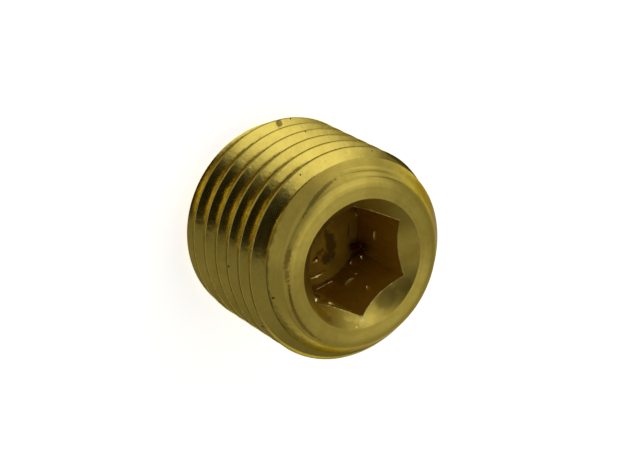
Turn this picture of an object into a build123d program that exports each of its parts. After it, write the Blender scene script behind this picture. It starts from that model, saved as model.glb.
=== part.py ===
"""Hex-socket pipe plug: one brass bar turned to a taper, threaded, countersunk and broached."""

from build123d import *
from math import atan, ceil, cos, degrees, radians, tan
import os

os.makedirs("parts", exist_ok=True)

# Driving dimensions in millimetres: a quarter-inch pipe thread with 18 turns to the inch
pipe_od = 13.716
pitch = 25.4 / 18
taper_on_diameter = 1 / 16
length = 10.75

# Thread form: 60 degree V, flattened a little at the root and more at the crest towards the head
sharp_height = pitch * cos(radians(30))
root_flat_depth = 0.05 * pitch
crest_flat_depth_tail = 0.055 * pitch
crest_flat_depth_head = 0.10 * pitch
pitch_diameter_tail = pipe_od - (0.05 * pipe_od / 25.4 + 1.1) * pitch
crest_height_on_x = 0.292

# Turned ends: a long lead on the head, a short one on the leading end
head_lead = 2.0
head_lead_depth = 1.48
head_edge_round = 0.9
tail_lead = 0.6
tail_lead_depth = 0.6

# Socket: countersunk mouth, broached hexagon, drilled point
hex_across_flats = 6.4
hex_depth = 5.6
mouth_radius = 4.19
mouth_half_angle = 45.0
drill_point_half_angle = 59.0
broach_ledge = 0.05

slope = taper_on_diameter / 2
flank = tan(radians(30))
trim = pipe_od
turning_overrun = pitch / 2
turns_below = 2
turns_above = ceil(length / pitch) + 2


def sharp_crest(z):
    """Radius of the sharp V's crest at a height above the leading end."""
    return pitch_diameter_tail / 2 + sharp_height / 2 + slope * z


def crest_flat_depth(z):
    """How far the crest is turned down below the sharp V at that height."""
    share = (z - tail_lead) / (length - head_lead - tail_lead)
    return crest_flat_depth_tail + (crest_flat_depth_head - crest_flat_depth_tail) * share


def thread_corners(turn):
    """Radius and height of the root's and the crest's edges where one turn crosses the X axis."""
    crest_z = crest_height_on_x + turn * pitch
    root_z = crest_z - pitch / 2
    root_r = sharp_crest(root_z) - sharp_height + root_flat_depth
    root_half = root_flat_depth * flank
    cut = crest_flat_depth(crest_z)
    crest_r = sharp_crest(crest_z) - cut
    return [
        (root_r, root_z - root_half),
        (root_r, root_z + root_half),
        (crest_r, crest_z - cut * flank),
        (crest_r, crest_z + cut * flank),
    ]


def one_turn(start, end):
    """Right-hand helix of one turn on a cone, from one corner to the same corner a turn later."""
    rise = end[1] - start[1]
    cone = atan((end[0] - start[0]) / rise)
    return Edge.make_helix(
        pitch=rise / cos(cone),
        height=rise,
        radius=start[0],
        center=(0, 0, start[1]),
        angle=degrees(cone),
    )


# Thread skin: root, leading flank, crest and trailing flank, ruled turn by turn past both ends
corners = {turn: thread_corners(turn) for turn in range(-turns_below, turns_above + 2)}
edges = {
    (turn, side): one_turn(corners[turn][side], corners[turn + 1][side])
    for turn in range(-turns_below, turns_above + 1)
    for side in range(4)
}
skin = []
for turn in range(-turns_below, turns_above):
    ring = [edges[turn, side] for side in range(4)] + [edges[turn + 1, 0]]
    skin += [Face.make_surface_from_curves(ring[i], ring[i + 1]) for i in range(4)]

# Each end of the skin is closed by a ramp from the axis and by the step between its two edges
for turn in (-turns_below, turns_above):
    low, high = (0, 0, corners[turn][0][1]), (0, 0, corners[turn + 1][0][1])
    skin.append(Face.make_surface_from_curves(Edge.make_line(low, high), edges[turn, 0]))
    step = [(r, 0, z) for r, z in corners[turn] + corners[turn + 1][:1]]
    skin.append(Face(Wire.make_polygon([low, *step, high], close=True)))
threaded_bar = Solid(Shell(skin))

with BuildPart() as plug:
    add(threaded_bar)

    # Head faced off and turned down to a long lead
    crest_head = sharp_crest(length - head_lead) - crest_flat_depth_head
    head_face_radius = crest_head - head_lead_depth
    head_slope = head_lead_depth / head_lead
    head_stop = length - head_lead - turning_overrun
    with BuildSketch(Plane.XZ):
        with BuildLine():
            Polyline(
                (0, length),
                (head_face_radius, length),
                (head_face_radius + head_slope * (length - head_stop), head_stop),
                (trim, head_stop),
                (trim, length + trim),
                (0, length + trim),
                close=True,
            )
        make_face()
    revolve(axis=Axis.Z, mode=Mode.SUBTRACT)

    # Leading end faced off with a short lead
    crest_tail = sharp_crest(tail_lead) - crest_flat_depth_tail
    tail_face_radius = crest_tail - tail_lead_depth
    tail_slope = tail_lead_depth / tail_lead
    tail_stop = tail_lead + turning_overrun
    with BuildSketch(Plane.XZ):
        with BuildLine():
            Polyline(
                (0, 0),
                (tail_face_radius, 0),
                (tail_face_radius + tail_slope * tail_stop, tail_stop),
                (trim, tail_stop),
                (trim, -trim),
                (0, -trim),
                close=True,
            )
        make_face()
    revolve(axis=Axis.Z, mode=Mode.SUBTRACT)

    # Rounded edge between the head's face and its lead
    head_edge = plug.edges().filter_by(GeomType.CIRCLE).sort_by(Axis.Z)[-1]
    fillet(head_edge, radius=head_edge_round)

    # Countersunk mouth
    mouth_depth = mouth_radius / tan(radians(mouth_half_angle))
    with BuildSketch(Plane.XZ):
        with BuildLine():
            Polyline((0, length), (mouth_radius, length), (0, length - mouth_depth), close=True)
        make_face()
    revolve(axis=Axis.Z, mode=Mode.SUBTRACT)

    # Broached hexagon with two corners on the X axis
    with BuildSketch(Plane.XY.offset(length - hex_depth)):
        RegularPolygon(radius=hex_across_flats / 2, side_count=6, major_radius=False)
    extrude(amount=hex_depth, mode=Mode.SUBTRACT)

    # Drilled point under the hexagon
    point_radius = hex_across_flats / 2 - broach_ledge
    point_depth = point_radius / tan(radians(drill_point_half_angle))
    with BuildSketch(Plane.XZ):
        with BuildLine():
            Polyline(
                (0, length - hex_depth),
                (point_radius, length - hex_depth),
                (0, length - hex_depth - point_depth),
                close=True,
            )
        make_face()
    revolve(axis=Axis.Z, mode=Mode.SUBTRACT)

plug.part.label = "plug"
export_step(plug.part, "parts/plug.step")
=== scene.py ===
"""Brass hex-socket pipe plug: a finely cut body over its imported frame, with burr, chips and stage."""

import math
import random

import bmesh
import bpy
import numpy as np
from bpy.props import FloatProperty, FloatVectorProperty, IntProperty, PointerProperty
from mathutils import Matrix, Vector, noise


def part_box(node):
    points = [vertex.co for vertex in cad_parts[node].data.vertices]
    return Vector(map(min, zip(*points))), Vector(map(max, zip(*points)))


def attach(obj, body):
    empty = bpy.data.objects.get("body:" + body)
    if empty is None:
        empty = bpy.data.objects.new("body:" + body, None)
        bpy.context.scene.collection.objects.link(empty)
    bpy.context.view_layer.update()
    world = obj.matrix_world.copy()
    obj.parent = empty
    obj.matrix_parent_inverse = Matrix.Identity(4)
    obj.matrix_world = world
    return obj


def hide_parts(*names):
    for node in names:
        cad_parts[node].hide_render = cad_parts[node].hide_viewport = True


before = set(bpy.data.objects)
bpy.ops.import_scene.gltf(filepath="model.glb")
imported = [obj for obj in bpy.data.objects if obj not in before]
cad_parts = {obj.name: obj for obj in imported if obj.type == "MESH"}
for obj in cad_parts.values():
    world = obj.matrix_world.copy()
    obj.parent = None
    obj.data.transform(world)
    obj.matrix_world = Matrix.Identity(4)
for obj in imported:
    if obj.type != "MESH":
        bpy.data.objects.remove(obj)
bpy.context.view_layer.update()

bl_info = {
    "name": "Brass pipe plug",
    "version": (1, 0, 0),
    "blender": (4, 5, 0),
    "location": "View3D > Sidebar > Pipe plug",
    "description": "Builds a hex-socket brass pipe plug with a taper thread around its frame",
    "category": "Object",
}

NODE = "plug"
BODY = "root"
MM = 0.001
INCH = 25.4
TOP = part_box(NODE)[1].z / MM

# Zones of the body by the operation that made them, in the order of its materials
THREAD, UNDER, CREST, FACED, LEAD, SUNK, BROACHED, DRILLED = range(8)

# Thread form: flats as shares of the pitch, eased edges in millimetres, rows as shares of a flank
HALF_ANGLE = math.radians(30)
FLANK = math.tan(HALF_ANGLE)
ROOT_FLAT = 0.05
CREST_CUT_TAIL = 0.055
CREST_CUT_HEAD = 0.10
ROOT_EASE = 0.028
CREST_EASE = 0.040
LOWER_FLANK_ROWS = (0.06, 0.94)
UPPER_FLANK_ROWS = (0.06, 0.33, 0.64, 0.94)
TURNS_PAST_END = 2

# Turning, broaching and drilling: counts, and sizes in millimetres
ROUND_STEPS = 24
FACE_MARGIN = 0.06
MOUTH_EASE = 0.05
STREAKS = 44
STREAK_DEPTH = (-0.012, 0.006)
STREAK_SEED = 7
BROACH_LEDGE = 0.05
DRILL_COLUMNS = 192
DRILL_OVERLAP = 1.0
CLEAR = 2.0
WELD = 2e-5
NICK = (-3.50, -5.43, 1.42)
NICK_REACH = 0.34
NICK_DEPTH = 0.09
RUNOUT_DARK_BEARING = 350

# What tells the zones apart: slack in millimetres, and how far a normal rises or points outward
CONE_SLACK = 0.02
ROUND_SLACK = 0.005
POINT_SLACK = 0.01
RISE_SLACK = 0.06
FACE_RISE = 0.72
TAIL_FACE_RISE = -0.98
TAIL_LEAD_RISE = -0.6
MOUTH_RISE = 0.4
POINT_RISE = 0.2
UPPER_FLANK_RISE = 0.3
SOCKET_OUTWARD = -0.2
CREST_OUTWARD = 0.9
THREAD_SHARP = math.radians(40)
TURNED_SHARP = math.radians(12)

# Marks of wear, painted highlights and painted shade as (kind, bearing in degrees, radius, height,
# half height, half width, half spread round the axis in degrees, change of radius over one radian,
# raggedness, share), in millimetres.
WEAR_AND_PAINTED_LIGHT = {
    # painted shade: the dark stripe along the last groove on the lead
    "lead": (("stain_and_shade", 266, 5.69, 10.2, 1.0, 0.10, 19, -0.50, 0.8, 0.55),
             # painted highlight: the light stripe on the head's lead
             ("rub_and_highlight", 290, 5.65, 10.3, 1.0, 0.09, 17, -0.20, 0.4, 0.85),
             ("brown", 310, 5.42, 10.5, 1.0, 0.16, 10, 0.0, 1.2, 0.85),
             ("brown", 322, 5.36, 10.5, 1.0, 0.14, 5, 0.0, 1.2, 0.70),
             ("brown", 352, 5.28, 10.7, 1.0, 0.11, 34, 0.07, 0.8, 0.80),
             ("stain_and_shade", 338, 5.24, 10.7, 1.0, 0.06, 12, 0.07, 0.9, 0.35),
             ("stain_and_shade", 338, 5.99, 9.86, 0.3, 0.07, 0.8, 0.0, 0.6, 0.90),
             # painted highlights in light arcs on the lead, with painted dark arcs between them
             ("rub_and_highlight", 222, 5.95, 9.9, 1.0, 0.07, 24, 0.10, 0.5, 0.90),
             ("stain_and_shade", 226, 5.80, 10.1, 1.0, 0.035, 22, 0.10, 0.6, 0.40),
             ("rub_and_highlight", 222, 5.64, 10.3, 1.0, 0.08, 20, 0.10, 0.5, 0.80),
             ("stain_and_shade", 216, 5.50, 10.4, 1.0, 0.03, 16, 0.10, 0.6, 0.35),
             # painted shade on the lead's rim, at its bottom and upper right, where it mirrors the
             # floor
             ("brown", 40, 6.00, 9.9, 1.5, 0.55, 48, 0.0, 0.4, 0.75),
             ("stain_and_shade", 25, 6.15, 9.6, 1.5, 0.45, 55, 0.0, 0.4, 0.45),
             ("brown", 160, 6.10, 9.9, 1.5, 0.50, 45, 0.0, 0.4, 0.65)),
    "thread": (("stain_and_shade", 237.2, 6.45, 1.39, 0.42, 0.25, 2.3, 0.0, 0.4, 0.80),
               ("brown", 237.0, 6.45, 1.40, 0.30, 0.16, 1.5, 0.0, 0.3, 0.50),
               # painted shade: the dark crescent in the last groove at the head
               ("stain_and_shade", 196, 6.70, 8.22, 0.50, 0.13, 12, 0.0, 0.7, 0.65),
               ("stain_and_shade", 229.4, 6.58, 1.26, 0.30, 0.06, 0.6, 0.0, 0.5, 0.95),
               ("stain_and_shade", 235.2, 6.65, 4.12, 0.30, 0.05, 0.6, 0.0, 0.5, 0.95),
               ("stain_and_shade", 328.3, 6.67, 5.92, 0.30, 0.06, 0.7, 0.0, 0.5, 0.95),
               ("stain_and_shade", 3.2, 6.62, 7.52, 0.30, 0.05, 0.7, 0.0, 0.5, 0.95)),
    # painted highlights on the countersink
    "sunk": (("rub_and_highlight", 62, 3.85, 10.4, 1.0, 0.28, 12, 0.0, 1.4, 0.85),
             # bright torn metal, painted on partly as glints on the countersink
             ("torn", 58, 3.86, 10.4, 1.0, 0.10, 2.4, 0.0, 1.5, 0.70),
             ("torn", 50, 4.08, 10.6, 1.0, 0.05, 1.4, 0.0, 1.5, 0.80),
             ("rub_and_highlight", 44, 3.66, 10.2, 1.0, 0.16, 6, 0.0, 1.5, 0.80),
             ("brown", 12, 3.90, 10.4, 1.0, 0.25, 14, 0.0, 0.9, 0.60),
             # painted shade: the dark wedge on the countersink's right side
             ("stain_and_shade", 92, 3.58, 10.15, 1.0, 0.50, 15, 0.0, 0.35, 0.42),
             ("brown", 112, 3.85, 10.4, 1.0, 0.45, 9, 0.0, 0.6, 0.45)),
    # painted shade on the crests facing bearing 345, dimming the floor they mirror
    "crest": (("stain_and_shade", 345, 6.60, 5.0, 9.0, 1.6, 45, 0.0, 0.8, 0.70),),
    # dark oil on the lower flanks, partly painted shade for the shadowed floor they mirror
    "under": (("oil", 266, 6.20, 5.0, 9.0, 1.6, 30, 0.0, 0.8, 0.80),
              ("oil", 345, 6.20, 5.0, 9.0, 1.6, 40, 0.0, 0.6, 0.55)),
    "broached": (("oil", 14, 3.40, 9.70, 0.06, 0.6, 17, 0.0, 0.6, 0.90),
                 # painted highlight: a thin bright line beside the oil line
                 ("torn", 12, 3.40, 9.83, 0.04, 0.6, 9, 0.0, 0.9, 0.60),
                 ("oil", 36, 3.30, 9.60, 0.05, 0.6, 9, 0.0, 0.6, 0.80)),
    "drilled": (("oil", 116, 1.90, 4.4, 2.0, 0.36, 28, -0.9, 0.9, 0.95),
                ("oil", 92, 2.20, 4.6, 2.0, 0.32, 15, 0.0, 1.1, 0.95),
                ("oil", 88, 1.72, 4.3, 2.0, 0.12, 14, 0.0, 0.9, 0.75),
                ("oil", 142, 2.68, 4.9, 2.0, 0.05, 12, 0.0, 0.6, 0.75)),
}

# Swarf left in the socket: width of each sliver and the points it curls through, in millimetres.
SLIVERS = (
    (0.08, (0.87, 1.80, 4.44), (0.60, 1.78, 4.56), (0.36, 1.78, 4.36)),
    (0.06, (1.71, 2.19, 4.92), (1.17, 2.40, 5.06), (0.52, 2.61, 4.86)),
    (0.08, (0.58, 3.16, 6.58), (0.26, 3.12, 6.66), (-0.08, 3.16, 6.76)),
    (0.05, (1.87, 2.95, 5.16), (1.40, 3.06, 5.26), (1.05, 3.10, 5.36), (0.80, 3.19, 5.42)),
    (0.07, (2.42, 2.20, 6.50), (2.46, 1.98, 6.90), (2.58, 1.89, 7.60)),
    (0.08, (2.79, 1.50, 8.50), (2.70, 1.58, 9.00), (2.49, 2.04, 8.92)),
    (0.05, (-0.30, 3.19, 6.50), (-0.36, 3.12, 6.60), (-0.42, 3.19, 6.68)),
    (0.06, (0.16, 3.19, 8.54), (0.03, 3.09, 8.52), (-0.09, 3.19, 8.45)),
    (0.11, (-1.74, 2.86, 5.20), (-1.62, 2.98, 5.50), (-1.60, 2.90, 5.78), (-1.48, 3.19, 5.90)),
    (0.06, (-0.77, 3.19, 5.45), (-0.92, 3.12, 5.42), (-1.07, 3.19, 5.32)),
    (0.05, (-2.83, 1.49, 7.11), (-2.62, 1.74, 7.10), (-2.52, 2.03, 7.04)),
    (0.05, (-3.10, 0.84, 5.16), (-3.00, 1.00, 5.24), (-3.05, 1.12, 5.18)),
    (0.13, (3.56, 0.23, 9.55), (3.42, 0.40, 9.60), (3.30, 0.62, 9.42)),
    (0.11, (3.50, 0.33, 9.20), (3.30, 0.55, 9.32), (3.20, 0.85, 9.15)),
    (0.14, (3.60, 0.10, 9.30), (3.46, 0.22, 9.42), (3.40, 0.45, 9.30)),
)
SLIVER_STEPS = 12
SLIVER_CROWN = 0.008
SLIVER_BELLY = 0.02
GLINT = (0.05, -0.30, 0.95)
CHIP_PLACE = (-1.66, 2.58, 5.72)
CHIP_SIZE = (0.44, 0.40, 0.86)

# Burr on the hexagon's mouth: how high it stands on each wall that has one, against a usual one
BURR = {0: 1.25, 1: 1.15, 2: 0.45, 3: 0.7}
BURR_STEPS = 90
BURR_SIDES = 6
BURR_LEAST = 0.012
BURR_SWELL = 0.030

# Sockets of a Mix node that mixes colours
MIX_SHARE, MIX_FIRST, MIX_SECOND = 0, 6, 7
MIX_RESULT = 2

# Soft boxes round the plug: bearing and height from the camera's side in degrees, half width and
# half height in degrees, softness, level. A level below nought is a dark card.
STUDIO = (
    (89, 48, 26, 22, 0.80, 0.90),
    (75, 2, 30, 10, 0.30, 0.85),
    (0, 15, 42, 9, 0.25, 0.20),
    (180, 50, 40, 18, 0.40, 0.17),
    (180, 84, 13, 11, 0.25, 1.60),
    (-3, 60, 21, 22, 0.10, -0.93),
    (0, 35, 26, 6, 0.30, 0.22),
    (-58, 32, 30, 11, 0.40, 0.17),
    (-90, 50, 30, 14, 0.50, 0.04),
    (120, 5, 14, 12, 0.20, -0.45),
)

# Floor and camera in metres, the floor's light far out as a share, and how far a box counts as ahead
FLOOR_REACH = 2.0
FLOOR_FAR_SHARE = 0.3
CAMERA_CLIP = 0.01
LEAST_AHEAD = 0.05


# Sizes and looks a user can change

class PlugSizes(bpy.types.PropertyGroup):
    """Sizes of the turned, threaded and broached body, in millimetres."""

    length: FloatProperty(name="Length", description="Height of the plug on its leading end",
                          default=TOP, min=4, max=60)
    pipe_od: FloatProperty(name="Pipe size", description="Outside diameter of the pipe it closes",
                           default=13.716, min=6, max=60)
    pitch: FloatProperty(name="Pitch", description="Distance from one thread crest to the next",
                         default=25.4 / 18, min=0.5, max=4)
    taper: FloatProperty(name="Taper", description="Growth in diameter for each unit of length",
                         default=1 / 16, min=0, max=0.2)
    crest_at_x: FloatProperty(name="Crest on X", description="Height of the first crest on +X",
                              default=0.292, min=0, max=4)
    head_lead: FloatProperty(name="Head lead", description="Height of the cone turned on the head",
                             default=2.0, min=0.2, max=6)
    head_lead_depth: FloatProperty(name="Head lead depth", description="How far that cone goes in",
                                   default=1.48, min=0.2, max=4)
    head_round: FloatProperty(name="Head edge round", description="Radius between cone and face",
                              default=0.9, min=0.05, max=1)
    tail_lead: FloatProperty(name="Tail lead", description="Height and depth of the small end's cone",
                             default=0.6, min=0.1, max=3)
    across_flats: FloatProperty(name="Across flats", description="Hexagon size between two walls",
                                default=6.4, min=2, max=30)
    hex_depth: FloatProperty(name="Hexagon depth", description="Depth of the broached hexagon",
                             default=5.6, min=1, max=30)
    mouth_radius: FloatProperty(name="Mouth radius", description="Radius of the countersink's rim",
                                default=4.19, min=1, max=30)
    drill_point: FloatProperty(name="Drill point", description="Half angle of the drilled bottom",
                               default=math.radians(59), subtype="ANGLE")
    columns: IntProperty(name="Columns", description="Steps round one turn of the thread",
                         default=480, min=48, max=960)


class BrassLook(bpy.types.PropertyGroup):
    """Colours and shine of the brass."""

    clean: FloatVectorProperty(name="Clean brass", description="Freshly cut brass",
                               subtype="COLOR", default=(0.79, 0.635, 0.135), min=0, max=1)
    olive: FloatVectorProperty(name="Olive brass", description="Lightly tarnished brass",
                               subtype="COLOR", default=(0.59, 0.435, 0.07), min=0, max=1)
    brown: FloatVectorProperty(name="Brown stain", description="Oil and oxide stains",
                               subtype="COLOR", default=(0.36, 0.23, 0.045), min=0, max=1)
    # Crest colour: rubbed skin, darkened also as painted shade that dims the floor mirrored in the
    # crests
    crest: FloatVectorProperty(name="Crest", description="Rubbed skin on the thread's crests",
                               subtype="COLOR", default=(0.15, 0.11, 0.025), min=0, max=1)
    socket: FloatVectorProperty(name="Socket film", description="Oil film in the socket",
                                subtype="COLOR", default=(0.24, 0.135, 0.012), min=0, max=1)
    amber: FloatVectorProperty(name="Amber oil", description="Thin oil on the socket's walls",
                               subtype="COLOR", default=(0.80, 0.53, 0.035), min=0, max=1)
    oil: FloatVectorProperty(name="Old oil", description="Thick oil in the socket",
                             subtype="COLOR", default=(0.075, 0.042, 0.006), min=0, max=1)
    torn: FloatVectorProperty(name="Torn metal", description="Burr and slivers",
                              subtype="COLOR", default=(0.92, 0.80, 0.38), min=0, max=1)
    chip: FloatVectorProperty(name="Chip", description="Oily chip in the socket",
                              subtype="COLOR", default=(0.22, 0.07, 0.04), min=0, max=1)
    edge_tint: FloatVectorProperty(name="Edge tint", description="Brass seen at a low angle",
                                   subtype="COLOR", default=(0.42, 0.39, 0.29), min=0, max=1)
    grime: FloatVectorProperty(name="Grime", description="Specks of dirt",
                               subtype="COLOR", default=(0.05, 0.035, 0.012), min=0, max=1)
    flank_roughness: FloatProperty(name="Flank roughness", description="Thread flanks",
                                   default=0.17, min=0, max=1)
    crest_roughness: FloatProperty(name="Crest roughness", description="Thread crests",
                                   default=0.36, min=0, max=1)
    face_roughness: FloatProperty(name="Face roughness", description="Turned face, across its rings",
                                  default=0.42, min=0, max=1)
    turned_roughness: FloatProperty(name="Turned roughness", description="Leads and countersink",
                                    default=0.26, min=0, max=1)
    socket_roughness: FloatProperty(name="Socket roughness", description="Broached and drilled",
                                    default=0.42, min=0, max=1)


class StageLook(bpy.types.PropertyGroup):
    """Camera, floor and studio light."""

    tilt: FloatProperty(name="View tilt", description="Angle between the view and the plug's axis",
                        default=math.radians(36.99), subtype="ANGLE")
    roll: FloatProperty(name="View roll", description="Turn of the picture about the view",
                        default=math.radians(29.208), subtype="ANGLE")
    bearing: FloatProperty(name="View bearing", description="Side of the plug that faces the camera",
                           default=math.radians(290.1), subtype="ANGLE")
    distance: FloatProperty(name="Distance", description="From the head's centre to the camera, mm",
                            default=303.64, min=50)
    aim_right: FloatProperty(name="Aim right", description="Head's centre to the right of the aim, mm",
                             default=2.9036)
    aim_down: FloatProperty(name="Aim down", description="Head's centre below the aim, mm",
                            default=1.7312)
    lens: FloatProperty(name="Lens", description="Focal length on a 36 mm sensor, mm",
                        default=283.5, min=20)
    room: FloatProperty(name="Room level", description="Light from the room between the soft boxes",
                        default=0.16, min=0, max=2)
    room_tint: FloatVectorProperty(name="Room tint", description="Colour of the room's light",
                                   subtype="COLOR", default=(1.0, 0.92, 0.74), min=0, max=1)
    floor: FloatVectorProperty(name="Floor", description="Colour of the floor", subtype="COLOR",
                               default=(0.9, 0.9, 0.9), min=0, max=1)
    floor_glow: FloatProperty(name="Floor glow", description="White added to the floor as seen",
                              default=0.75, min=0, max=1)
    floor_lit: FloatProperty(name="Floor lit to", description="Radius where the floor turns grey, mm",
                             default=37, min=5)


# Mesh helpers

def mesh_object(name, points, faces):
    """New object; a piece stays in millimetres for cutting until finish_piece."""
    mesh = bpy.data.meshes.new(name)
    mesh.from_pydata(points, [], faces)
    mesh.validate()
    obj = bpy.data.objects.new(name, mesh)
    bpy.context.scene.collection.objects.link(obj)
    return obj


def revolved(name, profile, columns, turn=0.0):
    """Closed solid of revolution; the profile runs from axis to axis, bottom to top, as (r, z).

    The turn shifts its columns by a share of one, so that no two tools have edges in line.
    """
    points, rings = [], []
    for r, z in profile:
        if r == 0:
            rings.append([len(points)])
            points.append((0.0, 0.0, z))
        else:
            rings.append(range(len(points), len(points) + columns))
            for i in range(columns):
                a = math.tau * (i + turn) / columns
                points.append((r * math.cos(a), r * math.sin(a), z))
    faces = []
    for low, high in zip(rings, rings[1:]):
        for i in range(columns):
            j = (i + 1) % columns
            if len(low) == 1:
                faces.append((low[0], high[j], high[i]))
            elif len(high) == 1:
                faces.append((low[i], low[j], high[0]))
            else:
                faces.append((low[i], low[j], high[j], high[i]))
    return mesh_object(name, points, faces)


def cut(target, tool, operation):
    """Boolean of two closed meshes; the tool is used up."""
    step = target.modifiers.new("cut", "BOOLEAN")
    step.operation = operation
    step.solver = "EXACT"
    step.object = tool
    made = bpy.data.meshes.new_from_object(
        target.evaluated_get(bpy.context.evaluated_depsgraph_get()))
    target.modifiers.clear()
    uncut, used, name = target.data, tool.data, target.data.name
    target.data = made
    bpy.data.objects.remove(tool)
    for mesh in (uncut, used):
        bpy.data.meshes.remove(mesh)
    made.name = name
    if not len(made.polygons):
        raise RuntimeError(f"{operation} left nothing of {name}")


def finish_piece(obj, materials):
    """Brings a piece to metres, gives it its materials and rides it on the frame."""
    obj.data.transform(Matrix.Scale(MM, 4))
    for material in materials:
        obj.data.materials.append(material)
    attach(obj, BODY)


# The threaded body

def sharp_crest(s, z):
    """Radius of the sharp V's crest at a height, from the taper pipe thread's pitch diameter."""
    pitch_radius = (s.pipe_od - (0.05 * s.pipe_od / INCH + 1.1) * s.pitch) / 2
    return pitch_radius + s.pitch * math.cos(HALF_ANGLE) / 2 + s.taper / 2 * z


def root_radius(s, z):
    """Radius of the thread's flattened root at a height."""
    return sharp_crest(s, z) - s.pitch * (math.cos(HALF_ANGLE) - ROOT_FLAT)


def crest_cut(s, z):
    """How far the crest is turned down below the sharp V at a height."""
    share = (z - s.tail_lead) / (s.length - s.head_lead - s.tail_lead)
    return s.pitch * (CREST_CUT_TAIL + (CREST_CUT_HEAD - CREST_CUT_TAIL) * share)


def thread_corners(s, turn):
    """Both edges of the root and of the crest of one turn as (r, z)."""
    crest_z = s.crest_at_x + turn * s.pitch
    root_z = crest_z - s.pitch / 2
    root_r = root_radius(s, root_z)
    half = ROOT_FLAT * s.pitch * FLANK
    depth = crest_cut(s, crest_z)
    crest_r = sharp_crest(s, crest_z) - depth
    return np.array([(root_r, root_z - half), (root_r, root_z + half),
                     (crest_r, crest_z - depth * FLANK), (crest_r, crest_z + depth * FLANK)])


def thread_profile(s, turn):
    """Root, lower flank, crest and upper flank of one turn as (r, z), edges a little rounded."""
    chain = [thread_corners(s, turn - 1)[3], *thread_corners(s, turn), thread_corners(s, turn + 1)[0]]
    eases = (ROOT_EASE, ROOT_EASE, CREST_EASE, CREST_EASE)
    flanks = ((), LOWER_FLANK_ROWS, (), UPPER_FLANK_ROWS)
    rows = []
    for a, b, c, ease, shares in zip(chain, chain[1:], chain[2:], eases, flanks):
        start = b + (a - b) / np.linalg.norm(a - b) * ease
        end = b + (c - b) / np.linalg.norm(c - b) * ease
        rows += [start, (start + 2 * b + end) / 4, end]
        rows += [b + (c - b) * share for share in shares]
    return rows


def close_end(points, faces, loop, tip):
    """Closes a loop of points by a fan round a new point on the axis."""
    middle = len(points)
    points.append((0.0, 0.0, tip))
    faces += [(middle, a, b) for a, b in zip(loop, loop[1:] + loop[:1])]


def threaded_bar(s):
    """Bar with the taper thread cut past both ends, as one helical strip closed by fans."""
    below, above = -TURNS_PAST_END, math.ceil(s.length / s.pitch) + TURNS_PAST_END
    points, rows = [], []
    for turn in range(below, above):
        columns = []
        for i in range(s.columns):
            a = math.tau * i / s.columns
            profile = thread_profile(s, turn + i / s.columns)
            columns.append([(r * math.cos(a), r * math.sin(a), z) for r, z in profile])
        for row in zip(*columns):
            rows.append(range(len(points), len(points) + s.columns))
            points += row
    count = len(rows) // (above - below)
    last, top = s.columns - 1, len(rows) - 1
    faces = []
    for low, high in zip(rows, rows[1:]):
        for i in range(last):
            faces.append((low[i], low[i + 1], high[i + 1], high[i]))
    for low, high, next_low, next_high in zip(rows, rows[1:], rows[count:], rows[count + 1:]):
        faces.append((low[last], next_low[0], next_high[0], high[last]))
    low_loop = list(rows[0]) + [rows[k][0] for k in range(count, 0, -1)]
    high_loop = list(rows[top]) + [rows[k][last] for k in range(top - 1, top - count - 1, -1)]
    close_end(points, faces, low_loop[::-1], s.crest_at_x + (below - 1) * s.pitch)
    close_end(points, faces, high_loop, s.crest_at_x + (above + 1) * s.pitch)
    return mesh_object("plug_body", points, faces)


def lead_cone(s):
    """Radius of the head's face corner and slope of the cone turned under it."""
    crest = sharp_crest(s, s.length - s.head_lead) - CREST_CUT_HEAD * s.pitch
    return crest - s.head_lead_depth, s.head_lead_depth / s.head_lead


def turned_blank(s):
    """What turning leaves: small lead at the tail, long lead, rounded edge and face at the head."""
    tail_r = sharp_crest(s, s.tail_lead) - CREST_CUT_TAIL * s.pitch - s.tail_lead
    face_r, slope = lead_cone(s)
    over_run = s.pitch / 2
    wide = s.pipe_od
    head_stop = s.length - s.head_lead - over_run
    tail_stop = s.tail_lead + over_run
    lean = math.atan(slope)
    turn = math.pi / 2 - lean
    centre_r = face_r - s.head_round * math.tan(turn / 2)
    centre_z = s.length - s.head_round
    arc = []
    for k in range(ROUND_STEPS + 1):
        a = lean + turn * k / ROUND_STEPS
        arc.append((centre_r + s.head_round * math.cos(a), centre_z + s.head_round * math.sin(a)))
    profile = [(0, 0), (tail_r, 0), (tail_r + tail_stop, tail_stop), (wide, tail_stop),
               (wide, head_stop), (face_r + slope * (s.length - head_stop), head_stop),
               *arc, (centre_r - FACE_MARGIN, s.length), (0, s.length)]
    return revolved("turned_blank", profile, s.columns, turn=0.37)


def mouth_tool(s):
    """Countersink as a solid to take away, its rim eased by a hair."""
    rim = s.mouth_radius + 0.4 * MOUTH_EASE
    profile = [(0, s.length - s.mouth_radius),
               (s.mouth_radius - MOUTH_EASE, s.length - MOUTH_EASE),
               (rim, s.length + 0.05 * MOUTH_EASE), (rim, s.length + CLEAR), (0, s.length + CLEAR)]
    return revolved("mouth_tool", profile, s.columns, turn=0.5)


def wall_axes(wall):
    """Directions out through one of the hexagon's walls and along it."""
    a = math.radians(30 + 60 * wall)
    return Vector((math.cos(a), math.sin(a), 0)), Vector((-math.sin(a), math.cos(a), 0))


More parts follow.
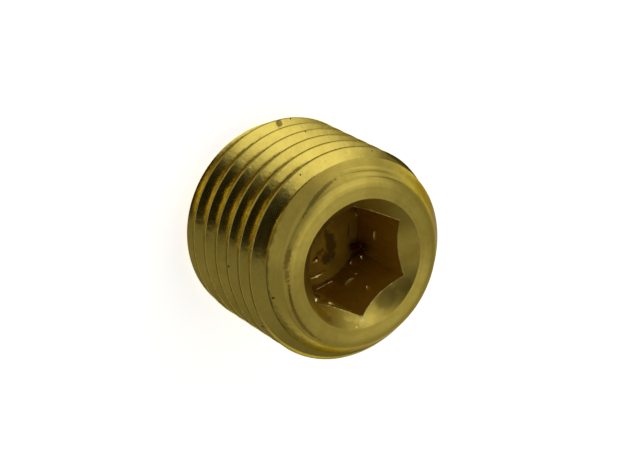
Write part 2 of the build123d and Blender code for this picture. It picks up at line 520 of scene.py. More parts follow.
def hex_tool(s):
    """Broached hexagon as a solid to take away, each wall with the broach's upright streaks."""
    rng = random.Random(STREAK_SEED)
    apothem, side = s.across_flats / 2, s.across_flats / math.sqrt(3)
    outline = []
    for wall in range(6):
        out, along = wall_axes(wall)
        for k in range(STREAKS):
            depth = 0.0 if k == 0 else rng.uniform(*STREAK_DEPTH)
            outline.append(out * (apothem + depth) + along * (side * (k / STREAKS - 0.5)))
    low, high = s.length - s.hex_depth, s.length + CLEAR
    n = len(outline)
    points = [(p.x, p.y, low) for p in outline] + [(p.x, p.y, high) for p in outline]
    faces = [(i, (i + 1) % n, n + (i + 1) % n, n + i) for i in range(n)]
    faces += [tuple(range(n - 1, -1, -1)), tuple(range(n, 2 * n))]
    return mesh_object("hex_tool", points, faces)


def drill_tool(s):
    """Drilled bottom as a solid to take away."""
    r = s.across_flats / 2 - BROACH_LEDGE
    low = s.length - s.hex_depth
    high = low + DRILL_OVERLAP
    profile = [(0, low - r / math.tan(s.drill_point)), (r, low), (r, high), (0, high)]
    return revolved("drill_tool", profile, DRILL_COLUMNS, turn=0.21)


def nick_ridge(obj):
    """Presses a small dent into the thread."""
    for v in obj.data.vertices:
        near = 1 - (v.co - Vector(NICK)).length_squared / NICK_REACH ** 2
        if near > 0:
            v.co -= Vector((v.co.x, v.co.y, 0)).normalized() * NICK_DEPTH * near ** 2


def mark_zones(obj, s):
    """Material index of each face by the operation that made it, and sharp edges between them."""
    face_r, slope = lead_cone(s)
    lead_rise = math.sin(math.atan(slope))
    round_low = s.length - s.head_round * (1 - lead_rise) - ROUND_SLACK
    bm = bmesh.new()
    bm.from_mesh(obj.data)
    bmesh.ops.remove_doubles(bm, verts=bm.verts, dist=WELD)
    bmesh.ops.dissolve_degenerate(bm, edges=bm.edges, dist=WELD / 2)
    bm.normal_update()
    for face in bm.faces:
        face.smooth = True
        c, n = face.calc_center_median(), face.normal
        r = math.hypot(c.x, c.y)
        outward = (n.x * c.x + n.y * c.y) / max(r, 1e-6)
        off_cone = abs(r - face_r - slope * (s.length - c.z))
        on_lead = off_cone < CONE_SLACK and abs(n.z - lead_rise) < RISE_SLACK
        at_point = r < 0.6 * s.across_flats and s.length - c.z > s.hex_depth - POINT_SLACK
        if at_point and n.z > POINT_RISE:
            kind = DRILLED
        elif r < s.mouth_radius + MOUTH_EASE and outward < SOCKET_OUTWARD:
            kind = SUNK if n.z > MOUTH_RISE else BROACHED
        elif n.z < TAIL_FACE_RISE or (n.z > FACE_RISE and c.z > round_low):
            kind = FACED
        elif c.z > round_low or on_lead or (c.z < s.tail_lead and n.z < TAIL_LEAD_RISE):
            kind = LEAD
        elif outward > CREST_OUTWARD and r > sharp_crest(s, c.z) - 0.3 * s.pitch:
            kind = CREST
        else:
            kind = UNDER if n.z < UPPER_FLANK_RISE else THREAD
        face.material_index = kind
    family = {UNDER: THREAD, CREST: THREAD, LEAD: FACED}
    for edge in bm.edges:
        faces = edge.link_faces
        kinds = {family.get(f.material_index, f.material_index) for f in faces}
        limit = THREAD_SHARP if kinds == {THREAD} else TURNED_SHARP
        edge.smooth = len(faces) == 2 and len(kinds) == 1 and edge.calc_face_angle(0) < limit
    bm.to_mesh(obj.data)
    bm.free()


class PLUG_OT_body(bpy.types.Operator):
    """Cut the threaded, countersunk and broached body"""

    bl_idname = "pipe_plug.body"
    bl_label = "Threaded body"

    def execute(self, context):
        s = context.scene.plug_sizes
        body = threaded_bar(s)
        cut(body, turned_blank(s), "INTERSECT")
        for tool in (mouth_tool, hex_tool, drill_tool):
            cut(body, tool(s), "DIFFERENCE")
        nick_ridge(body)
        mark_zones(body, s)
        look = context.scene.brass_look
        finish_piece(body, [thread_brass(look, s), under_brass(look), crest_brass(look),
                            faced_brass(look, s), lead_brass(look, s), sunk_brass(look),
                            broached_brass(look), drilled_brass(look)])
        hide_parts(NODE)
        return {"FINISHED"}


# Burr and swarf

def tube(points, faces, rings):
    """Adds a closed skin through rings of equal length to a mesh's points and faces."""
    n = len(rings[0])
    first = len(points)
    points += [tuple(p) for ring in rings for p in ring]
    for k in range(len(rings) - 1):
        a = first + k * n
        faces += [(a + i, a + (i + 1) % n, a + n + (i + 1) % n, a + n + i) for i in range(n)]
    last = first + (len(rings) - 1) * n
    faces += [tuple(range(first + n - 1, first - 1, -1)), tuple(range(last, last + n))]


def burr_rings(s, wall, height):
    """Rings of the ragged lip along one of the hexagon's mouth edges, by its height."""
    apothem, side = s.across_flats / 2, s.across_flats / math.sqrt(3)
    up = Vector((0, 0, 1))
    out, along = wall_axes(wall)
    rings = []
    for k in range(BURR_STEPS + 1):
        u = side * (k / BURR_STEPS - 0.5) * 0.995
        mouth_z = s.length - s.mouth_radius + math.hypot(apothem, u)
        spot = out * apothem + along * u + up * mouth_z
        rough = noise.noise(spot * 2.1) + 0.7 * noise.noise(spot * 7.3)
        thick = (BURR_LEAST + BURR_SWELL * max(0.0, rough + 0.15)) * height
        spot -= out * (0.3 * thick) + along * (0.01 * noise.noise(spot * 11.0))
        spot += up * thick * (0.2 + 0.5 * noise.noise(spot * 5.1))
        rings.append([spot + (out * math.cos(q) + up * math.sin(q)) * thick
                      for q in (math.tau * i / BURR_SIDES for i in range(BURR_SIDES))])
    return rings


class PLUG_OT_burr(bpy.types.Operator):
    """Raise the ragged burr where the broach broke through the countersink"""

    bl_idname = "pipe_plug.burr"
    bl_label = "Socket burr"

    def execute(self, context):
        points, faces = [], []
        for wall, height in BURR.items():
            tube(points, faces, burr_rings(context.scene.plug_sizes, wall, height))
        burr = mesh_object("socket_burr", points, faces)
        burr.data.shade_smooth()
        finish_piece(burr, [torn_brass(context.scene.brass_look)])
        return {"FINISHED"}


def curled(points, steps):
    """Smooth path through a few points."""
    path = []
    for k in range(len(points) - 1):
        a, b = points[max(k - 1, 0)], points[k]
        c, d = points[k + 1], points[min(k + 2, len(points) - 1)]
        for i in range(steps):
            t = i / steps
            path.append(0.5 * (2 * b + (c - a) * t + (2 * a - 5 * b + 4 * c - d) * t ** 2
                               + (3 * b - a - 3 * c + d) * t ** 3))
    return path + [points[-1]]


def sliver_rings(width, path):
    """Rings of a thin curl along a path, pointed at both ends and turned to catch the light."""
    rings = []
    for k, spot in enumerate(path):
        ahead = (path[min(k + 1, len(path) - 1)] - path[max(k - 1, 0)]).normalized()
        flat = Vector(GLINT).cross(ahead).normalized()
        rise = ahead.cross(flat)
        share = k / (len(path) - 1)
        half = width * 0.95 * (0.25 + 0.75 * math.sin(math.pi * (0.08 + 0.84 * share)))
        half *= 1 + 0.5 * noise.noise(spot * 9.0)
        rings.append([spot + flat * half, spot + rise * SLIVER_CROWN,
                      spot - flat * half, spot - rise * SLIVER_BELLY])
    return rings


def crumpled_chip():
    """Lump of swarf pressed together in the socket."""
    bm = bmesh.new()
    bmesh.ops.create_icosphere(bm, subdivisions=4, radius=1.0)
    for v in bm.verts:
        crumple = 0.62 + 0.55 * noise.noise(v.co * 1.9) + 0.28 * noise.noise(v.co * 5.2)
        v.co = v.co * Vector(CHIP_SIZE) * crumple + Vector(CHIP_PLACE)
    mesh = bpy.data.meshes.new("socket_chip")
    bm.to_mesh(mesh)
    bm.free()
    chip = bpy.data.objects.new("socket_chip", mesh)
    bpy.context.scene.collection.objects.link(chip)
    return chip


class PLUG_OT_swarf(bpy.types.Operator):
    """Leave slivers and a crumpled chip in the socket"""

    bl_idname = "pipe_plug.swarf"
    bl_label = "Socket swarf"

    def execute(self, context):
        look = context.scene.brass_look
        points, faces = [], []
        for width, *path in SLIVERS:
            path = curled([Vector(p) for p in path], SLIVER_STEPS)
            tube(points, faces, sliver_rings(width, path))
        finish_piece(mesh_object("socket_swarf", points, faces), [torn_brass(look)])
        finish_piece(crumpled_chip(), [chip_brass(look)])
        return {"FINISHED"}


# Materials

def feed(tree, node, inputs):
    """Sets a node's inputs, and links each one that is given as a socket."""
    for name, value in inputs.items():
        if isinstance(value, bpy.types.NodeSocket):
            tree.links.new(value, node.inputs[name])
        else:
            node.inputs[name].default_value = value


def wire(tree, kind, settings=None, inputs=None):
    """New node with its settings and inputs."""
    node = tree.nodes.new(kind)
    for name, value in (settings or {}).items():
        setattr(node, name, value)
    feed(tree, node, inputs or {})
    return node


def calc(tree, operation, *values):
    """Math node on sockets or numbers; its result."""
    node = wire(tree, "ShaderNodeMath", {"operation": operation}, dict(enumerate(values)))
    return node.outputs[0]


def plus(tree, first, second):
    """Sum of two sockets or numbers."""
    return calc(tree, "ADD", first, second)


def minus(tree, first, second):
    """First socket or number less the second."""
    return calc(tree, "SUBTRACT", first, second)


def times(tree, first, second):
    """Product of two sockets or numbers."""
    return calc(tree, "MULTIPLY", first, second)


def over(tree, first, second):
    """First socket or number divided by the second."""
    return calc(tree, "DIVIDE", first, second)


def measure(tree, operation, *vectors):
    """Vector Math node whose result is one number, such as a length or a dot product."""
    node = wire(tree, "ShaderNodeVectorMath", {"operation": operation}, dict(enumerate(vectors)))
    return node.outputs["Value"]


def scaled(tree, vector, scale):
    """Vector made longer or shorter."""
    node = wire(tree, "ShaderNodeVectorMath", {"operation": "SCALE"}, {0: vector, "Scale": scale})
    return node.outputs[0]


def round_axis(tree, place):
    """Coordinates of a place, the place in plan, and its distance from the axis."""
    xyz = wire(tree, "ShaderNodeSeparateXYZ", {}, {0: place}).outputs
    plan = wire(tree, "ShaderNodeCombineXYZ", {}, {0: xyz[0], 1: xyz[1]}).outputs[0]
    return xyz, plan, measure(tree, "LENGTH", plan)


def fade(tree, value, start, end, low=0.0, high=1.0):
    """Smooth step of a value from low at start to high at end."""
    node = wire(tree, "ShaderNodeMapRange", {"interpolation_type": "SMOOTHSTEP"},
                {"Value": value, "From Min": start, "From Max": end, "To Min": low, "To Max": high})
    return node.outputs["Result"]


def blend(tree, share, first, second):
    """Mix of two colours, each a socket or its red, green and blue."""
    first, second = (c if isinstance(c, bpy.types.NodeSocket) else (*c, 1) for c in (first, second))
    node = wire(tree, "ShaderNodeMix", {"data_type": "RGBA"},
                {MIX_SHARE: share, MIX_FIRST: first, MIX_SECOND: second})
    return node.outputs[MIX_RESULT]


def mottle(tree, vector, scale, detail=3.0, roughness=0.55):
    """Noise value at a scale given in waves for each millimetre."""
    node = wire(tree, "ShaderNodeTexNoise", {},
                {"Vector": vector, "Scale": scale, "Detail": detail, "Roughness": roughness})
    return node.outputs["Fac"]


def new_group(name, inputs, outputs):
    """Shader node group with float, vector or colour sockets: its tree, its inputs, its end node."""
    group = bpy.data.node_groups.new(name, "ShaderNodeTree")
    kinds = {"f": "NodeSocketFloat", "v": "NodeSocketVector", "c": "NodeSocketColor"}
    for label, kind, value in inputs:
        socket = group.interface.new_socket(label, in_out="INPUT", socket_type=kinds[kind])
        if value is not None:
            socket.default_value = value
    for label, kind in outputs:
        group.interface.new_socket(label, in_out="OUTPUT", socket_type=kinds[kind])
    source = group.nodes.new("NodeGroupInput").outputs
    return group, source, group.nodes.new("NodeGroupOutput")


def use_group(tree, group, **inputs):
    """Outputs of a node group placed in a tree; an input's name has its spaces as underscores."""
    named = {name.replace("_", " "): value for name, value in inputs.items()}
    return wire(tree, "ShaderNodeGroup", {"node_tree": group}, named).outputs


def once(make):
    """Makes a node group at its first use and hands the same one out after that."""
    def get():
        name = make.__name__
        return bpy.data.node_groups.get(name) or make(name)
    return get


@once
def lathe_marks(name):
    """Rings left by the tool: height, and a tone that follows them, from the place in mm."""
    group, source, sink = new_group(
        name, [("Place", "v", None), ("Rings per mm", "f", 14.0), ("Wander", "f", 0.03)],
        [("Height", "f"), ("Tone", "f")])
    xyz, _, radius = round_axis(group, source["Place"])
    drift = times(group, mottle(group, source["Place"], 0.7), source["Wander"])
    ring = plus(group, minus(group, radius, times(group, xyz[2], 0.31)), drift)

    def rings(share):
        scale = times(group, source["Rings per mm"], share)
        node = wire(group, "ShaderNodeTexNoise", {"noise_dimensions": "1D"},
                    {"W": ring, "Scale": scale, "Detail": 2.0, "Roughness": 0.6})
        return node.outputs["Fac"]

    fine, broad = rings(1.0), rings(0.38)
    height = plus(group, times(group, fine, 0.5), times(group, broad, 1.1))
    feed(group, sink, {"Height": height, "Tone": broad})
    return group


@once
def brass_tarnish(name):
    """Clean brass going olive and brown in soft patches, and how stained each place is."""
    group, source, sink = new_group(
        name, [("Place", "v", None), ("Clean", "c", None), ("Olive", "c", None),
               ("Brown", "c", None), ("Olive share", "f", 0.5), ("Brown share", "f", 0.2)],
        [("Color", "c"), ("Stain", "f")])
    cloud = mottle(group, source["Place"], 0.55, 4.0)
    patch = mottle(group, source["Place"], 2.3, 5.0, 0.65)
    both = plus(group, times(group, cloud, 0.6), times(group, patch, 0.4))
    olive = times(group, fade(group, both, 0.38, 0.66), source["Olive share"])
    spot = mottle(group, source["Place"], 5.0, 4.0, 0.7)
    brown = times(group, fade(group, spot, 0.56, 0.78), source["Brown share"])
    dull = blend(group, olive, source["Clean"], source["Olive"])
    feed(group, sink, {"Color": blend(group, brown, dull, source["Brown"]),
                       "Stain": plus(group, olive, brown)})
    return group


@once
def fine_scratches(name):
    """Short hairline scratches in two directions as a mask."""
    group, source, sink = new_group(
        name, [("Place", "v", None), ("Amount", "f", 0.5)], [("Mask", "f")])
    lines = []
    for turn, scale in ((0.6, 3.1), (2.3, 4.3)):
        drawn_out = wire(group, "ShaderNodeMapping", {},
                         {"Vector": source["Place"], "Rotation": (turn, turn * 1.7, turn * 0.6),
                          "Scale": (0.35, 9.0, 9.0)}).outputs[0]
        lines.append(fade(group, mottle(group, drawn_out, scale, 1.0), 0.70, 0.78))
    feed(group, sink, {"Mask": times(group, calc(group, "MAXIMUM", *lines), source["Amount"])})
    return group


@once
def grime_specks(name):
    """Small dark specks caught on the metal, as a mask."""
    group, source, sink = new_group(
        name, [("Place", "v", None), ("Scale", "f", 2.0), ("Share", "f", 0.1), ("Size", "f", 0.1)],
        [("Mask", "f")])
    cells = wire(group, "ShaderNodeTexVoronoi", {},
                 {"Vector": source["Place"], "Scale": source["Scale"]}).outputs
    red = wire(group, "ShaderNodeSeparateColor", {}, {0: cells["Color"]}).outputs[0]
    chosen = calc(group, "LESS_THAN", red, source["Share"])
    wobble = times(group, mottle(group, source["Place"], 18.0), 0.6)
    spread = times(group, source["Size"], plus(group, wobble, 0.7))
    near = fade(group, over(group, cells["Distance"], spread), 1.0, 0.6)
    feed(group, sink, {"Mask": times(group, near, chosen)})
    return group


@once
def root_dirt(name):
    """Darkening towards the thread's root, as a mask, from the place in mm."""
    group, source, sink = new_group(
        name, [("Place", "v", None), ("Root", "f", 5.5), ("Slope", "f", 0.03), ("Reach", "f", 0.1)],
        [("Mask", "f")])
    xyz, _, radius = round_axis(group, source["Place"])
    rise = minus(group, minus(group, radius, source["Root"]), times(group, xyz[2], source["Slope"]))
    tear = plus(group, times(group, mottle(group, source["Place"], 3.0, 4.0, 0.65), 1.6), 0.2)
    mask = fade(group, over(group, rise, times(group, source["Reach"], tear)), 1.0, 0.4)
    feed(group, sink, {"Mask": mask})
    return group


@once
def groove_edge(name):
    """Darkening along the edge where the last groove runs out through the head's lead, as a mask."""
    group, source, sink = new_group(
        name, [("Place", "v", None), ("Pitch", "f", 1.411), ("Crest", "f", 0.292),
               ("Deep", "f", 0.1), ("Closing", "f", 0.4), ("Reach", "f", 0.1), ("Toward", "v", None)],
        [("Mask", "f")])
    xyz, plan, _ = round_axis(group, source["Place"])
    angle = over(group, calc(group, "ARCTAN2", xyz[1], xyz[0]), math.tau)
    turn = over(group, minus(group, xyz[2], source["Crest"]), source["Pitch"])
    # The half turn puts the root at nought, and the whole turns keep the count above it
    phase = calc(group, "FRACT", plus(group, minus(group, turn, angle), 8.5))
    edge = minus(group, source["Deep"], times(group, xyz[2], source["Closing"]))
    away = minus(group, times(group, phase, source["Pitch"]), edge)
    tear = plus(group, times(group, mottle(group, source["Place"], 2.2, 4.0, 0.6), 2.0), -0.2)
    reach = times(group, source["Reach"], tear)
    mask = fade(group, over(group, calc(group, "ABSOLUTE", away), reach), 1.0, 0.1)
    facing = measure(group, "DOT_PRODUCT", plan, source["Toward"])
    feed(group, sink, {"Mask": times(group, mask, fade(group, facing, 2.0, 4.0))})
    return group


@once
def worn_arc(name):
    """A ragged mark along an arc round the axis, as a mask, from the place in mm."""
    group, source, sink = new_group(
        name, [("Place", "v", None), ("Toward", "v", None), ("Aside", "v", None),
               ("Radius", "f", 5.0), ("Height", "f", 0.0), ("Half height", "f", 1.0),
               ("Half width", "f", 0.1), ("Spread", "f", 0.2), ("Drift", "f", 0.0),
               ("Ragged", "f", 0.5)], [("Mask", "f")])
    xyz, plan, radius = round_axis(group, source["Place"])

    def along(axis):
        dot = measure(group, "DOT_PRODUCT", plan, source[axis])
        return over(group, dot, calc(group, "MAXIMUM", radius, 0.001))

    swing = along("Aside")
    middle = plus(group, source["Radius"], times(group, swing, source["Drift"]))
    parts = (over(group, swing, source["Spread"]),
             over(group, minus(group, radius, middle), source["Half width"]),
             over(group, minus(group, xyz[2], source["Height"]), source["Half height"]))
    away = wire(group, "ShaderNodeCombineXYZ", {}, dict(enumerate(parts))).outputs[0]
    tear = minus(group, mottle(group, source["Place"], 4.5, 4.0, 0.7), 0.5)
    ragged = times(group, tear, times(group, source["Ragged"], 2.0))
    reach = plus(group, measure(group, "LENGTH", away), ragged)
    near_side = calc(group, "GREATER_THAN", along("Toward"), 0.0)
    feed(group, sink, {"Mask": times(group, fade(group, reach, 1.1, 0.6), near_side)})
    return group


def bearing_axes(bearing):
    """Level directions at a bearing in degrees and a quarter turn further round."""
    b = math.radians(bearing)
    return (math.cos(b), math.sin(b), 0), (-math.sin(b), math.cos(b), 0)


def worn(tree, look, place, colour, part):
    """Lays the marks of wear, the painted highlights and the painted shade of one part of the plug over
    a colour.
    """
    # Colours of the kinds: clean brass for painted highlights, grime for stains and painted shade,
    # bright torn metal partly painted as glints
    paints = {"rub_and_highlight": look.clean, "stain_and_shade": look.grime, "brown": look.brown, "oil": look.oil,
              "torn": look.torn}
    for kind, bearing, radius, height, tall, wide, spread, drift, ragged, share in WEAR_AND_PAINTED_LIGHT[part]:
        toward, aside = bearing_axes(bearing)
        mask = use_group(tree, worn_arc(), Place=place, Toward=toward, Aside=aside, Radius=radius,
                         Height=height, Half_height=tall, Half_width=wide,
                         Spread=math.sin(math.radians(spread)), Drift=drift, Ragged=ragged)["Mask"]
        colour = blend(tree, times(tree, mask, share), colour, paints[kind])
    return colour


def brass_base(name, look, shine, anisotropy=0.0):
    """Material with a Principled metal, and the place in millimetres that its detail follows."""
    material = bpy.data.materials.new(name)
    material.use_nodes = True
    tree = material.node_tree
    shader = tree.nodes["Principled BSDF"]
    feed(tree, shader, {"Metallic": 1.0, "Roughness": shine, "Specular Tint": (*look.edge_tint, 1)})
    if anisotropy:
        lay = wire(tree, "ShaderNodeTangent", {"direction_type": "RADIAL", "axis": "Z"})
        feed(tree, shader, {"Anisotropic": anisotropy, "Anisotropic Rotation": 0.25,
                            "Tangent": lay.outputs[0]})
    place = scaled(tree, wire(tree, "ShaderNodeTexCoord").outputs["Object"], 1 / MM)
    return material, tree, shader, place


def relief(tree, height, depth):
    """Normal bent by a height whose full value is given in micrometres."""
    bump = wire(tree, "ShaderNodeBump", {},
                {"Height": height, "Distance": depth * 1e-6, "Strength": 1.0})
    return bump.outputs[0]


def stained(tree, look, place, olive, brown):
    """Tarnished brass: its colour and how stained it is."""
    return use_group(tree, brass_tarnish(), Place=place, Clean=(*look.clean, 1),
                     Olive=(*look.olive, 1), Brown=(*look.brown, 1), Olive_share=olive,
                     Brown_share=brown)


def thread_brass(look, s):
    """Upper flanks: bright die-cut brass with light chatter, specks, and darkening towards the roots.
    """
    material, tree, shader, place = brass_base("thread_brass", look, look.flank_roughness)
    tone = stained(tree, look, place, 0.40, 0.45)
    speck = use_group(tree, grime_specks(), Place=place, Scale=1.3, Share=0.12, Size=0.09)["Mask"]
    # darker towards the thread's root
    dirt = use_group(tree, root_dirt(), Place=place, Root=root_radius(s, 0), Slope=s.taper / 2,
                     Reach=0.12)["Mask"]
    colour = blend(tree, times(tree, dirt, 0.8), tone["Color"], look.grime)
    colour = worn(tree, look, place, blend(tree, speck, colour, look.grime), "thread")
    marks = use_group(tree, lathe_marks(), Place=place, Rings_per_mm=16.0, Wander=0.05)
    wave = plus(tree, times(tree, mottle(tree, place, 1.1, 2.0), 4.2),
                times(tree, mottle(tree, place, 3.6, 2.0), 0.9))
    height = plus(tree, times(tree, marks["Height"], 0.15), wave)
    rough = plus(tree, look.flank_roughness - 0.03, times(tree, tone["Stain"], 0.16))
    feed(tree, shader, {"Base Color": colour, "Roughness": rough,
                        "Normal": relief(tree, height, 4.0)})
    return material


def under_brass(look):
    """Lower flanks and roots: cutting oil dried to a brown film, and patches of painted shade where
    they mirror the floor.
    """
    material, tree, shader, place = brass_base("under_brass", look, look.flank_roughness + 0.1)
    tone = stained(tree, look, place, 0.9, 0.6)
    # Brown patches: dried oil, and painted shade standing in for the shadowed floor these flanks mirror
    patch = fade(tree, mottle(tree, place, 1.1, 4.0, 0.6), 0.35, 0.68, 0.25, 0.65)
    colour = worn(tree, look, place, blend(tree, patch, tone["Color"], look.brown), "under")
    height = mottle(tree, place, 5.0, 3.0)
    feed(tree, shader, {"Base Color": colour, "Normal": relief(tree, height, 4.0)})
    return material


def crest_brass(look):
    """Crests: the bar's own skin, rubbed dull, and darker than the cut flanks partly as painted shade
    that dims the floor they mirror.
    """
    material, tree, shader, place = brass_base("crest_brass", look, look.crest_roughness)
    tone = stained(tree, look, place, 0.8, 0.5)
    # Dark patches of the crest colour: rubbed skin and painted shade
    patch = fade(tree, mottle(tree, place, 3.0, 4.0, 0.65), 0.35, 0.65, 0.98, 0.75)
    colour = worn(tree, look, place, blend(tree, patch, tone["Color"], look.crest), "crest")
    rub_and_highlight = use_group(tree, fine_scratches(), Place=place, Amount=1.0)["Mask"]
    rough = plus(tree, look.crest_roughness, times(tree, tone["Stain"], 0.12))
    feed(tree, shader, {"Base Color": colour, "Roughness": rough, "Normal": relief(tree, rub_and_highlight, 3.0)})
    return material


def torn_groove(tree, look, s, place, colour):
    """Darkens the edge where the last groove runs out through the head's lead, over a colour."""
    face_r, slope = lead_cone(s)
    mask = use_group(tree, groove_edge(), Place=place, Pitch=s.pitch, Crest=s.crest_at_x,
                     Deep=(face_r + slope * s.length - root_radius(s, 0)) * FLANK,
                     Closing=(slope + s.taper / 2) * FLANK, Reach=0.34,
                     Toward=bearing_axes(RUNOUT_DARK_BEARING)[0])["Mask"]
    return blend(tree, times(tree, mask, 0.75), colour, look.grime)


def turned_brass(name, look, part, s=None, *, shine, anisotropy, film, olive, brown):
    """Turned metal: rings of the tool, a film of tarnish, scratches, specks and marks of wear."""
    material, tree, shader, place = brass_base(name, look, shine, anisotropy)
    tone = stained(tree, look, place, olive, brown)
    marks = use_group(tree, lathe_marks(), Place=place, Rings_per_mm=11.0, Wander=0.04)
    scratch = use_group(tree, fine_scratches(), Place=place, Amount=0.5)["Mask"]
    speck = use_group(tree, grime_specks(), Place=place, Scale=1.1, Share=0.10, Size=0.07)["Mask"]
    dull = blend(tree, film, tone["Color"], look.brown)
    shade = fade(tree, marks["Tone"], 0.35, 0.65, 0.0, 0.25)
    colour = blend(tree, speck, blend(tree, shade, dull, look.olive), look.grime)
    if s is not None:
        # darker along the edge where the last groove runs out
        colour = torn_groove(tree, look, s, place, colour)
    colour = worn(tree, look, place, colour, part)
    wave = times(tree, mottle(tree, place, 0.8, 2.0), 3.0)
    height = minus(tree, plus(tree, marks["Height"], wave), times(tree, scratch, 0.6))
    rough = plus(tree, shine - 0.04, times(tree, tone["Stain"], 0.12))
    feed(tree, shader, {"Base Color": colour, "Roughness": rough,
                        "Normal": relief(tree, height, 1.6)})
    return material


def faced_brass(look, s):
    """Both faces: rings that spread the light across them into a bow."""
    return turned_brass("faced_brass", look, "lead", s, shine=look.face_roughness,
                        anisotropy=0.85, film=0.0, olive=0.55, brown=0.15)


def lead_brass(look, s):
    """Leads at both ends: duller than the face, under a film of oil."""
    return turned_brass("lead_brass", look, "lead", s, shine=look.turned_roughness + 0.06,
                        anisotropy=0.6, film=0.18, olive=0.65, brown=0.3)


def sunk_brass(look):
    """Countersink: an oily film in patches."""
    return turned_brass("sunk_brass", look, "sunk", shine=look.turned_roughness + 0.08,
                        anisotropy=0.2, film=0.25, olive=0.8, brown=0.4)


def broached_brass(look):
    """Socket walls: upright broach streaks under an oil film."""
    material, tree, shader, place = brass_base("broached_brass", look, look.socket_roughness)
    tone = stained(tree, look, place, 0.5, 0.25)
    tall = wire(tree, "ShaderNodeMapping", {}, {"Vector": place, "Scale": (1, 1, 0.06)}).outputs[0]
    streak = mottle(tree, tall, 9.0, 3.0, 0.65)
    film = fade(tree, mottle(tree, place, 0.9), 0.35, 0.65, 0.95, 0.6)
    dull = blend(tree, film, tone["Color"], look.amber)
    colour = blend(tree, fade(tree, streak, 0.50, 0.72, 0.0, 0.2), dull, look.oil)
    colour = worn(tree, look, place, colour, "broached")
    height = plus(tree, streak, times(tree, mottle(tree, place, 6.0, 4.0, 0.7), 0.35))
    rough = plus(tree, look.socket_roughness + 0.06, times(tree, streak, 0.14))
    feed(tree, shader, {"Base Color": colour, "Roughness": rough,
                        "Normal": relief(tree, height, 12.0)})
    return material


def drilled_brass(look):
    """Drilled bottom: coarse rings under brown oil."""
    material, tree, shader, place = brass_base("drilled_brass", look, look.socket_roughness + 0.12)
    film = fade(tree, mottle(tree, place, 1.3, 3.0, 0.55), 0.40, 0.75, 0.0, 0.35)
    colour = worn(tree, look, place, blend(tree, film, look.socket, look.grime), "drilled")
    marks = use_group(tree, lathe_marks(), Place=place, Rings_per_mm=7.0, Wander=0.1)
    feed(tree, shader, {"Base Color": colour, "Normal": relief(tree, marks["Height"], 6.0)})
    return material


def torn_brass(look):
    """Burr and slivers: bright metal, freshly torn."""
    material, tree, shader, place = brass_base("torn_brass", look, 0.30)
    dull = fade(tree, mottle(tree, place, 5.0, 4.0, 0.65), 0.45, 0.75, 0.0, 0.8)
    feed(tree, shader, {"Base Color": blend(tree, dull, look.torn, look.brown),
                        "Normal": relief(tree, mottle(tree, place, 12.0, 3.0), 6.0)})
    return material


def chip_brass(look):
    """Crumpled chip, dark with oil."""
    material, tree, shader, place = brass_base("chip_brass", look, 0.45)
    patch = fade(tree, mottle(tree, place, 4.0, 4.0, 0.7), 0.52, 0.66, 0.0, 0.8)
    feed(tree, shader, {"Base Color": blend(tree, patch, look.chip, look.olive),
                        "Normal": relief(tree, mottle(tree, place, 9.0, 3.0), 15.0)})
    return material


# Stage

@once
def soft_box(name):
    """A soft-edged rectangle in the studio, seen in a direction: one inside, nought outside."""
    group, source, sink = new_group(
        name, [("Direction", "v", None), ("Centre", "v", None), ("Side", "v", None),
               ("Rise", "v", None), ("Half width", "f", 0.3), ("Half height", "f", 0.3),
               ("Softness", "f", 0.1)], [("Mask", "f")])

    def along(axis):
        return measure(group, "DOT_PRODUCT", source["Direction"], source[axis])

    ahead = along("Centre")
    mask = calc(group, "GREATER_THAN", ahead, LEAST_AHEAD)
    safe = calc(group, "MAXIMUM", ahead, LEAST_AHEAD)
    half_soft = times(group, source["Softness"], 0.5)
    for axis, half in (("Side", "Half width"), ("Rise", "Half height")):
        offset = calc(group, "ABSOLUTE", over(group, along(axis), safe))
        edge = fade(group, offset, minus(group, source[half], half_soft),
                    plus(group, source[half], half_soft), 1.0, 0.0)
        mask = times(group, mask, edge)
    feed(group, sink, {"Mask": mask})
    return group


def place_camera(scene, look, s, toward, aside):
    """Camera at the photograph's angle, turned about its view as the picture is."""
    axis = Vector((0, 0, 1))
    st, ct = math.sin(look.tilt), math.cos(look.tilt)
    sr, cr = math.sin(look.roll), math.cos(look.roll)
    back = toward * st + axis * ct
    right = aside * sr - toward * (ct * cr) + axis * (st * cr)
    up = aside * cr + toward * (ct * sr) - axis * (st * sr)
    spot = (axis * s.length - right * look.aim_right + up * look.aim_down
            + back * look.distance) * MM
    data = bpy.data.cameras.new("studio_camera")
    data.lens = look.lens
    data.clip_start = CAMERA_CLIP
    camera = bpy.data.objects.new("studio_camera", data)
    camera.matrix_world = Matrix.Translation(spot) @ Matrix((right, up, back)).transposed().to_4x4()
    scene.collection.objects.link(camera)
    scene.camera = camera


def lay_floor(look):
    """White floor that stays white to the camera and in the metal, and keeps the shadow."""
    corners = [(x * FLOOR_REACH, y * FLOOR_REACH, 0) for x, y in ((-1, -1), (1, -1), (1, 1), (-1, 1))]
    floor = mesh_object("studio_floor", corners, [(0, 1, 2, 3)])
    paint = bpy.data.materials.new("floor_white")
    paint.use_nodes = True
    tree = paint.node_tree
    path = wire(tree, "ShaderNodeLightPath").outputs
    seen = calc(tree, "MAXIMUM", path["Is Camera Ray"],
                calc(tree, "MAXIMUM", path["Is Glossy Ray"], path["Is Transmission Ray"]))
    away = measure(tree, "LENGTH", wire(tree, "ShaderNodeTexCoord").outputs["Object"])
    near = fade(tree, away, look.floor_lit * MM, 2 * look.floor_lit * MM, 1.0, FLOOR_FAR_SHARE)
    feed(tree, tree.nodes["Principled BSDF"], {
        "Roughness": 1.0, "Specular IOR Level": 0.0, "Emission Color": (1, 1, 1, 1),
        "Base Color": scaled(tree, tuple(look.floor), near),
        "Emission Strength": times(tree, times(tree, seen, look.floor_glow), near)})
    floor.data.materials.append(paint)


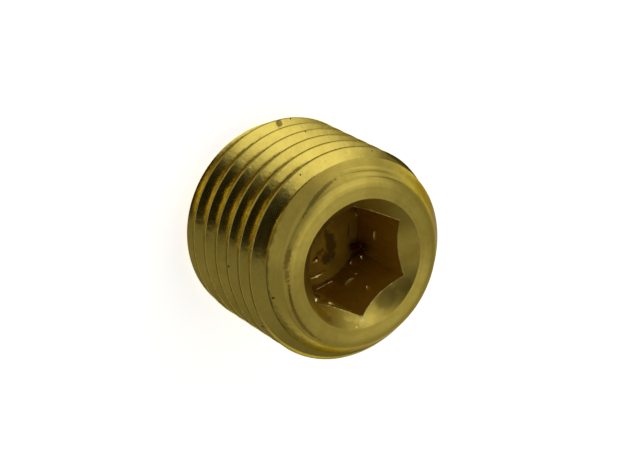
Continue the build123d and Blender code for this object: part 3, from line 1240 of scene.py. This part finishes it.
def light_studio(scene, look, toward, aside):
    """World with soft boxes and dark cards at set bearings round the plug."""
    world = bpy.data.worlds.new("studio")
    world.use_nodes = True
    tree = world.node_tree
    direction = wire(tree, "ShaderNodeTexCoord").outputs["Generated"]
    up = Vector((0, 0, 1))
    level, dark = 0.0, 1.0
    for bearing, height, width, tall, soft, strength in STUDIO:
        b, e = math.radians(bearing), math.radians(height)
        flat = toward * math.cos(b) + aside * math.sin(b)
        mask = use_group(tree, soft_box(), Direction=direction,
                         Centre=flat * math.cos(e) + up * math.sin(e),
                         Side=aside * math.cos(b) - toward * math.sin(b),
                         Rise=up * math.cos(e) - flat * math.sin(e),
                         Half_width=math.tan(math.radians(width)),
                         Half_height=math.tan(math.radians(tall)), Softness=soft)["Mask"]
        share = times(tree, mask, strength)
        if strength > 0:
            level = plus(tree, level, share)
        else:
            dark = times(tree, dark, plus(tree, 1.0, share))
    boxes = tree.nodes["Background"]
    feed(tree, boxes, {"Color": (1, 1, 1, 1), "Strength": times(tree, level, dark)})
    room = wire(tree, "ShaderNodeBackground", {}, {
        "Color": (*look.room_tint, 1), "Strength": times(tree, dark, look.room)})
    both = wire(tree, "ShaderNodeAddShader", {}, {0: boxes.outputs[0], 1: room.outputs[0]})
    feed(tree, tree.nodes["World Output"], {"Surface": both.outputs[0]})
    scene.world = world


class PLUG_OT_stage(bpy.types.Operator):
    """Set up the floor, the studio light and the camera"""

    bl_idname = "pipe_plug.stage"
    bl_label = "Stage"

    def execute(self, context):
        look = context.scene.stage_look
        context.scene.view_settings.view_transform = "Standard"
        toward = Vector((math.cos(look.bearing), math.sin(look.bearing), 0))
        aside = Vector((math.sin(look.bearing), -math.cos(look.bearing), 0))
        place_camera(context.scene, look, context.scene.plug_sizes, toward, aside)
        lay_floor(look)
        light_studio(context.scene, look, toward, aside)
        return {"FINISHED"}


# Panel and registration

class PLUG_PT_panel(bpy.types.Panel):
    """Sizes, looks and the steps that build the plug"""

    bl_label = "Pipe plug"
    bl_idname = "PLUG_PT_panel"
    bl_space_type = "VIEW_3D"
    bl_region_type = "UI"
    bl_category = "Pipe plug"

    def draw(self, context):
        for group in ("plug_sizes", "brass_look", "stage_look"):
            box = self.layout.box()
            values = getattr(context.scene, group)
            for name in values.__annotations__:
                box.prop(values, name)
        for operator in OPERATORS:
            self.layout.operator(operator.bl_idname)


OPERATORS = (PLUG_OT_body, PLUG_OT_burr, PLUG_OT_swarf, PLUG_OT_stage)
CLASSES = (PlugSizes, BrassLook, StageLook, *OPERATORS, PLUG_PT_panel)


def register():
    """Adds the classes, and their values to the scene."""
    for cls in CLASSES:
        bpy.utils.register_class(cls)
    bpy.types.Scene.plug_sizes = PointerProperty(type=PlugSizes)
    bpy.types.Scene.brass_look = PointerProperty(type=BrassLook)
    bpy.types.Scene.stage_look = PointerProperty(type=StageLook)


def unregister():
    """Takes the values and the classes away again."""
    del bpy.types.Scene.plug_sizes
    del bpy.types.Scene.brass_look
    del bpy.types.Scene.stage_look
    for cls in reversed(CLASSES):
        bpy.utils.unregister_class(cls)


def main():
    """Builds the plug and its stage."""
    register()
    bpy.ops.pipe_plug.body()
    bpy.ops.pipe_plug.burr()
    bpy.ops.pipe_plug.swarf()
    bpy.ops.pipe_plug.stage()


if __name__ == "__main__":
    main()
